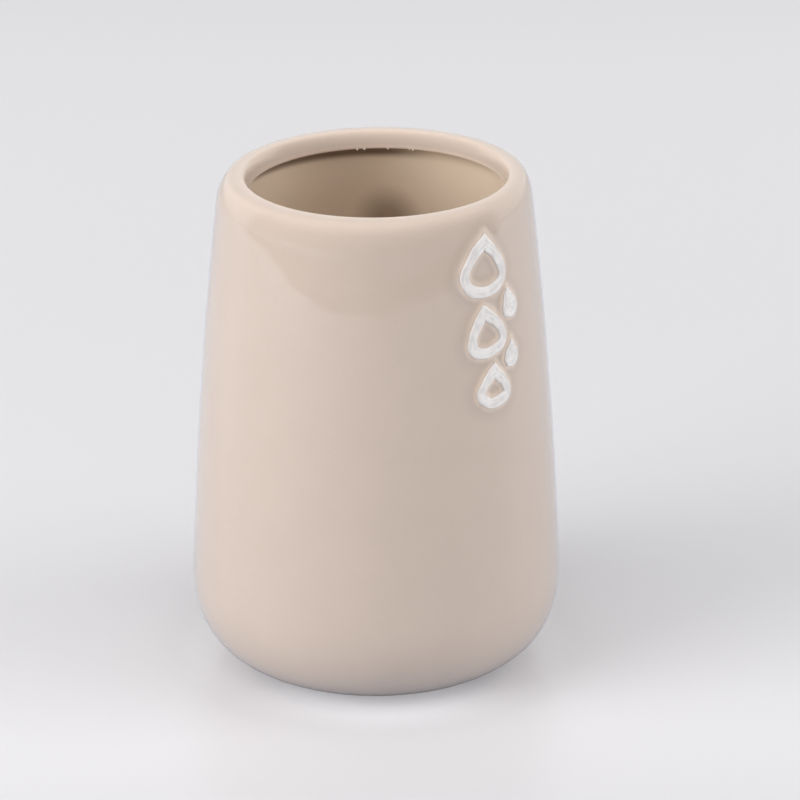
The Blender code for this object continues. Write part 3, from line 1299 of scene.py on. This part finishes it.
@dataclass
class DropColumn:
    """The column of raised water drops, painted in white enamel."""

    cup: CupBody
    top: float = 4.8 * MM
    height: float = 35.9 * MM
    width: float = 14.0 * MM
    brush_side: float = 2.1 * MM
    brush_foot: float = 2.3 * MM
    brush_tip: float = 3.5 * MM
    taper: float = 1.25
    tip_fullness: float = 0.10
    solid_sag: float = 0.06
    outline_points: int = 192
    wobble: float = 0.16 * MM
    wobble_orders: Sequence[int] = range(2, 12)
    wobble_fall: float = 0.6

    # The enamel's section: the exponents of its rounding, and its inset where it sinks into the ground
    thickness: float = 0.42 * MM
    seat: float = 0.15 * MM
    bead_side: float = 0.8
    bead_top: float = 0.7
    bead_points: int = 21
    bead_inset: float = 0.03
    solid_points: int = 16
    solid_inset: float = 0.02

    # The brush's streaks: how often they change round the drop, how many cross it, and where they fade
    streak_height: float = 0.09 * MM
    streak_turns: float = 1.5
    streak_lines: float = 5.0
    streak_fade: float = 6.0
    drops: tuple[Drop, ...] = (
        Drop("enamel_drop_1", DropKind.OUTLINED, -0.06, 0.18, 0.83, 0.36, math.radians(-5), 3),
        Drop("enamel_drop_2", DropKind.SOLID, 0.39, 0.43, 0.32, 0.18, math.radians(8), 5),
        Drop("enamel_drop_3", DropKind.OUTLINED, -0.09, 0.55, 0.72, 0.31, math.radians(6), 8),
        Drop("enamel_drop_4", DropKind.SOLID, 0.37, 0.72, 0.29, 0.16, math.radians(-6), 13),
        Drop("enamel_drop_5", DropKind.OUTLINED, -0.01, 0.87, 0.62, 0.26, math.radians(-4), 21),
    )
    finish: EnamelFinish = field(default_factory=EnamelFinish)

    def outline(self, drop: Drop, width: float, height: float, centre: float, salt: int) -> Points:
        """Draw one edge of a drop, flat, with the wobble of a hand-held brush.

        Args:
            drop: The drop.
            width: The edge's width.
            height: Its height.
            centre: How far its middle is above the drop's.
            salt: Tells the wobble of one edge from that of another.

        Returns:
            Across and up of each point, round once and back at the first.
        """
        turn = np.linspace(0.0, ROUND, self.outline_points + 1)
        fullness = self.tip_fullness + (1 - self.tip_fullness) * np.abs(np.sin(turn / 2)) ** self.taper
        half = np.sin(turn) * fullness
        x = -half / half.max() * width / 2
        y = np.cos(turn) * height / 2 + centre
        line = np.column_stack([x, y])
        outward = np.column_stack([np.gradient(y), -np.gradient(x)])
        outward[[0, -1]] = (0.0, 1.0)
        outward /= np.linalg.norm(outward, axis=1)[:, None]
        chance = np.random.default_rng(drop.seed * 10 + salt)
        ripple = np.zeros(len(turn))
        for order in self.wobble_orders:
            strength = chance.normal() / order**self.wobble_fall
            ripple += strength * np.cos(order * turn + chance.uniform(0.0, ROUND))
        line += outward * (ripple / np.abs(ripple).max() * self.wobble)[:, None]
        cosine, sine = math.cos(drop.lean), math.sin(drop.lean)
        line = line @ np.array([[cosine, sine], [-sine, cosine]])
        line[-1] = line[0]
        centre_height = self.cup.height - self.top - drop.down * self.height
        return line + (drop.across * self.width, centre_height)

    def edges(self, drop: Drop) -> tuple[Points, Points]:
        """The outer and inner edge of a drop's enamel.

        Args:
            drop: The drop.

        Returns:
            Its outline and either that of its opening or, on a solid drop, its middle, as many times.
        """
        width, height = drop.width * self.width, drop.height * self.height
        outer = self.outline(drop, width, height, 0.0, 1)
        if drop.kind is DropKind.SOLID:
            middle = outer.mean(axis=0) - (0.0, height * self.solid_sag)
            return outer, np.tile(middle, (len(outer), 1))
        centre = (self.brush_foot - self.brush_tip) / 2
        hole = height - self.brush_tip - self.brush_foot
        return outer, self.outline(drop, width - 2 * self.brush_side, hole, centre, 2)

    def plan(self) -> bpy.types.Object:
        """Draw all drops flat, as the faces that the cup's grounds are raised below.

        Returns:
            The guide.
        """
        points, faces = [], []
        for drop in self.drops:
            outer, inner = self.edges(drop)
            start, count = len(points) * len(outer), len(outer)
            points.extend([outer, inner])
            for i in range(count - 1):
                faces.append((start + i, start + i + 1, start + count + i + 1, start + count + i))
        return guide_mesh("plan", np.vstack(points), faces)

    def bead(self, kind: DropKind) -> Points:
        """The section of the enamel: its share of the way from the outer to the inner edge, and its rise.

        Args:
            kind: How the drop is painted.

        Returns:
            Points whose rise is a share of the enamel's thickness.
        """
        sunk = -self.seat / self.thickness
        if kind is DropKind.SOLID:
            turn = np.linspace(0.0, QUARTER, self.solid_points)
            top = np.column_stack([1.0 - np.cos(turn) ** self.bead_side, np.sin(turn) ** self.bead_top])
            return np.vstack([[(1.0, sunk), (self.solid_inset, sunk)], top])
        turn = np.linspace(0.0, math.pi, self.bead_points)
        side = np.sign(np.cos(turn)) * np.abs(np.cos(turn)) ** self.bead_side
        top = np.column_stack([0.5 - side / 2, np.sin(turn) ** self.bead_top])
        below = [(1.0 - self.bead_inset, sunk), (0.5, sunk), (self.bead_inset, sunk), (0.0, 0.0)]
        return np.vstack([top, below])

    def tree(self, drop: Drop) -> tuple[ShapeTree, Signal]:
        """Draw the tree that lays the enamel's section between the two edges of a drop.

        Args:
            drop: The drop.

        Returns:
            The tree and the mesh that it ends with, flat: across, up and proud.
        """
        outer, inner = self.edges(drop)
        inputs = {
            "Outer Edge": guide_mesh("outer_edge", outer),
            "Inner Edge": guide_mesh("inner_edge", inner),
            "Bead": guide_mesh("bead", self.bead(drop.kind)),
            "Thickness": self.thickness,
            "Streak Height": self.streak_height,
            "Seed": drop.seed,
        }
        tree = ShapeTree(f"lay_{drop.node}", inputs)
        outer_line, inner_line, bead = (tree.guide(name) for name in ("Outer Edge", "Inner Edge", "Bead"))
        count = tree.points_in(outer_line)
        mesh, column, row = tree.lattice(count, tree.points_in(bead))
        share, rise, _ = tree.parts(tree.place_at(bead, row))
        start = tree.scaled(tree.place_at(outer_line, column), 1.0 - share)
        end = tree.scaled(tree.place_at(inner_line, column), share)
        angle = column / (count - 1.0) * ROUND
        around_x, around_y = tree.math("COSINE", angle), tree.math("SINE", angle)
        turns, lines = self.streak_turns, self.streak_lines
        grain = tree.joined(around_x * turns, around_y * turns, share * lines)
        streak = tree.noise(grain, 1.0, tree.input("Seed"), detail=1.0) - 0.5
        body = tree.math("MAXIMUM", rise, 0.0) * tree.math("MINIMUM", (1.0 - share) * self.streak_fade, 1.0)
        proud = rise * tree.input("Thickness") + streak * body * tree.input("Streak Height") * 2.0
        place = tree.vector("ADD", tree.vector("ADD", start, end), tree.joined(0.0, 0.0, proud))
        mesh = tree.store(mesh, STROKE, tree.joined(around_x, around_y, share), "FLOAT_VECTOR")
        return tree, tree.welded(tree.moved(mesh, Position=place))

    def wrapped(self, flat: Points) -> Points:
        """Bend points that were laid out flat onto the cup's wall.

        Args:
            flat: Across, up and proud of each.

        Returns:
            Their places on the cup.
        """
        across, height, proud = flat.T
        step = self.cup.wall / 2
        radius = self.cup.radius_at(height)
        slope = np.arctan2(self.cup.radius_at(height - step) - self.cup.radius_at(height + step), 2 * step)
        proud = proud + self.cup.ground_height
        reach = radius + proud * np.cos(slope)
        return np.column_stack([reach[:, None] * around(across / radius), height + proud * np.sin(slope)])

    def build(self) -> list[bpy.types.Object]:
        """Make and dress every drop's enamel.

        Returns:
            The finished pieces.
        """
        material = self.finish.material()
        pieces = []
        for drop in self.drops:
            tree, mesh = self.tree(drop)
            piece = tree.grow(drop.node.replace("enamel", "painted"), mesh, material)
            points = self.wrapped(read_points(piece))
            write_points(piece, self.cup.lean(points, np.zeros(len(points))))
            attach(piece, ROOT)
            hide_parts(drop.node)
            pieces.append(piece)
        return pieces


# The studio


def turned(first: Vector, second: Vector, angle: float) -> tuple[Vector, Vector]:
    """Turn two square axes in their plane, the first towards the second."""
    cosine, sine = math.cos(angle), math.sin(angle)
    return first * cosine + second * sine, second * cosine - first * sine


@dataclass(frozen=True)
class Softbox:
    """A rectangular soft lamp behind the tent's cloth, so that the gloss shows the cloth and not the lamp.

    Its azimuth is counted from the camera's, to the right in the picture.
    """

    name: str
    azimuth: float
    elevation: float
    distance: float
    width: float
    height: float
    level: float

    def build(self, camera_azimuth: float, target: Vector) -> None:
        """Hang the lamp.

        Args:
            camera_azimuth: Where the camera stands.
            target: What the lamp faces.
        """
        lamp = bpy.data.lights.new(self.name, "AREA")
        lamp.shape = "RECTANGLE"
        lamp.size = self.width
        lamp.size_y = self.height
        lamp.energy = self.level * self.width * self.height * math.pi
        away = direction(camera_azimuth + self.azimuth, self.elevation) * self.distance
        hung = placed(self.name, lamp)
        hung.location = target + away
        hung.rotation_euler = away.to_track_quat("Z", "Y").to_euler()
        hung.visible_glossy = False


@dataclass(frozen=True)
class Tent:
    """Light tent: bright cloth round the back of the table and above it, and an open, dim front.

    The cloth's edges are counted from the camera's azimuth. Reflections see all of the tent, other bounced
    light comes from the roof alone, and the camera sees a plain backdrop.
    """

    azimuth: float
    left_edge: float = math.radians(-102)
    right_edge: float = math.radians(97)
    edge_blur: float = 0.09
    wall: float = 1.02
    front: float = 0.15
    roof: float = 0.86
    roof_span: Span = (0.35, 0.80)
    roof_light: float = 0.60
    daylight: Colour = (0.995, 0.990, 1.000)
    backdrop: Colour = (0.770, 0.765, 0.785)

    def toward(self) -> Vector:
        """The level direction from the holder to the camera."""
        return direction(self.azimuth)

    def walled(self, graph: Graph, heading: Signal) -> Signal:
        """Tell which directions meet the cloth, which goes round the back from one edge to the other.

        Args:
            graph: Where the nodes go.
            heading: A unit vector.

        Returns:
            The share of cloth: 0 on the open side and 1 behind both edges.
        """
        shares = []
        for inward in (self.left_edge - QUARTER, self.right_edge + QUARTER):
            past = graph.along(heading, direction(self.azimuth + inward))
            shares.append(graph.ramp(past, -self.edge_blur, self.edge_blur))
        return graph.math("MINIMUM", *shares)

    def build(self) -> None:
        """Set the world: the tent, and what each kind of ray sees of it."""
        world = bpy.data.worlds.new("tent")
        world.use_nodes = True
        bpy.context.scene.world = world
        graph = Graph(world.node_tree)
        heading = graph.take("ShaderNodeTexCoord", output="Generated")
        _, _, up = graph.parts(heading)
        level = self.walled(graph, heading) * (self.wall - self.front) + self.front
        roof = graph.ramp(up, *self.roof_span)
        level = level + roof * (self.roof - level)
        light = graph.scaled(self.daylight, roof * self.roof_light)
        light = graph.mix(graph.ray(Ray.MIRRORED), light, graph.joined(level, level, level))
        light = graph.mix(graph.ray(Ray.SEEN), light, self.backdrop)
        background = world.node_tree.nodes["Background"]
        graph.feed(background.inputs["Color"], light)
        background.inputs["Strength"].default_value = 1.0


@dataclass
class Studio:
    """Table, light tent, lamps and camera."""

    azimuth: float = math.radians(-42)
    elevation: float = math.radians(22.174)
    distance: float = 0.900
    aim_height: float = 52.5 * MM
    focal_pixels: float = 4354.95
    aside_pixels: float = -24.461
    up_pixels: float = 11.928
    roll: float = math.radians(0.294)
    picture: float = 800.0
    clip: Span = (0.01, 20.0)
    table_radius: float = 3.0
    table_corners: int = 96
    table: TableFinish = field(default_factory=TableFinish)
    lamps: tuple[Softbox, ...] = (
        Softbox("left_low_softbox", math.radians(-60), math.radians(19), 0.95, 0.60, 0.50, 5.85),
        Softbox("left_softbox", math.radians(-75), math.radians(30), 0.95, 0.50, 0.80, 1.55),
        Softbox("right_low_softbox", math.radians(77), math.radians(14), 1.05, 1.06, 0.50, 2.08),
        Softbox("right_softbox", math.radians(80), math.radians(27), 1.05, 0.70, 0.90, 1.75),
        Softbox("high_softbox", math.radians(-9), math.radians(62), 1.10, 1.20, 0.80, 1.12),
    )

    def build_table(self, tent: Tent) -> None:
        """Lay the table top, a wide round sheet that belongs to no part.

        Args:
            tent: The light tent that stands on it.
        """
        turn = np.arange(self.table_corners) * ROUND / self.table_corners
        circle = np.column_stack([np.cos(turn), np.sin(turn)]) * self.table_radius
        sheet = guide_mesh("table", circle, [tuple(range(self.table_corners))])
        sheet.data.materials.append(self.table.material(tent))

    def build_camera(self, target: Vector) -> None:
        """Stand the camera where the photograph was taken from.

        Args:
            target: What it aims at, before it is panned, tipped and rolled a little.
        """
        lens = bpy.data.cameras.new("camera")
        lens.sensor_fit = "HORIZONTAL"
        lens.lens = self.focal_pixels / self.picture * lens.sensor_width
        lens.clip_start, lens.clip_end = self.clip
        back = direction(self.azimuth, self.elevation)
        right = Vector((math.cos(self.azimuth), math.sin(self.azimuth), 0.0))
        up = right.cross(-back)
        right, ahead = turned(right, -back, math.atan(self.aside_pixels / self.focal_pixels))
        up, ahead = turned(up, ahead, -math.atan(self.up_pixels / self.focal_pixels))
        right, up = turned(right, up, -self.roll)
        columns = Matrix((right, up, -ahead)).transposed().to_4x4()
        camera = placed("camera", lens)
        camera.matrix_world = Matrix.Translation(target + back * self.distance) @ columns
        bpy.context.scene.camera = camera

    def build(self) -> None:
        """Build the whole studio."""
        tent = Tent(self.azimuth)
        self.build_table(tent)
        tent.build()
        target = Vector((0.0, 0.0, self.aim_height))
        for lamp in self.lamps:
            lamp.build(self.azimuth, target)
        self.build_camera(target)
        bpy.context.scene.view_settings.view_transform = "Standard"


def main() -> None:
    """Build the holder's pieces in order, then the studio."""
    logging.basicConfig(level=logging.INFO, format="%(name)s: %(message)s")
    remove(bpy.data.objects)
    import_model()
    cup = CupBody()
    column = DropColumn(cup)
    pieces = [cup.build(column.plan()), *column.build()]
    for piece in pieces:
        LOG.info("%s: %d faces", piece.name, len(piece.data.polygons))
    Studio().build()
    bpy.context.view_layer.update()


if __name__ == "__main__":
    main()
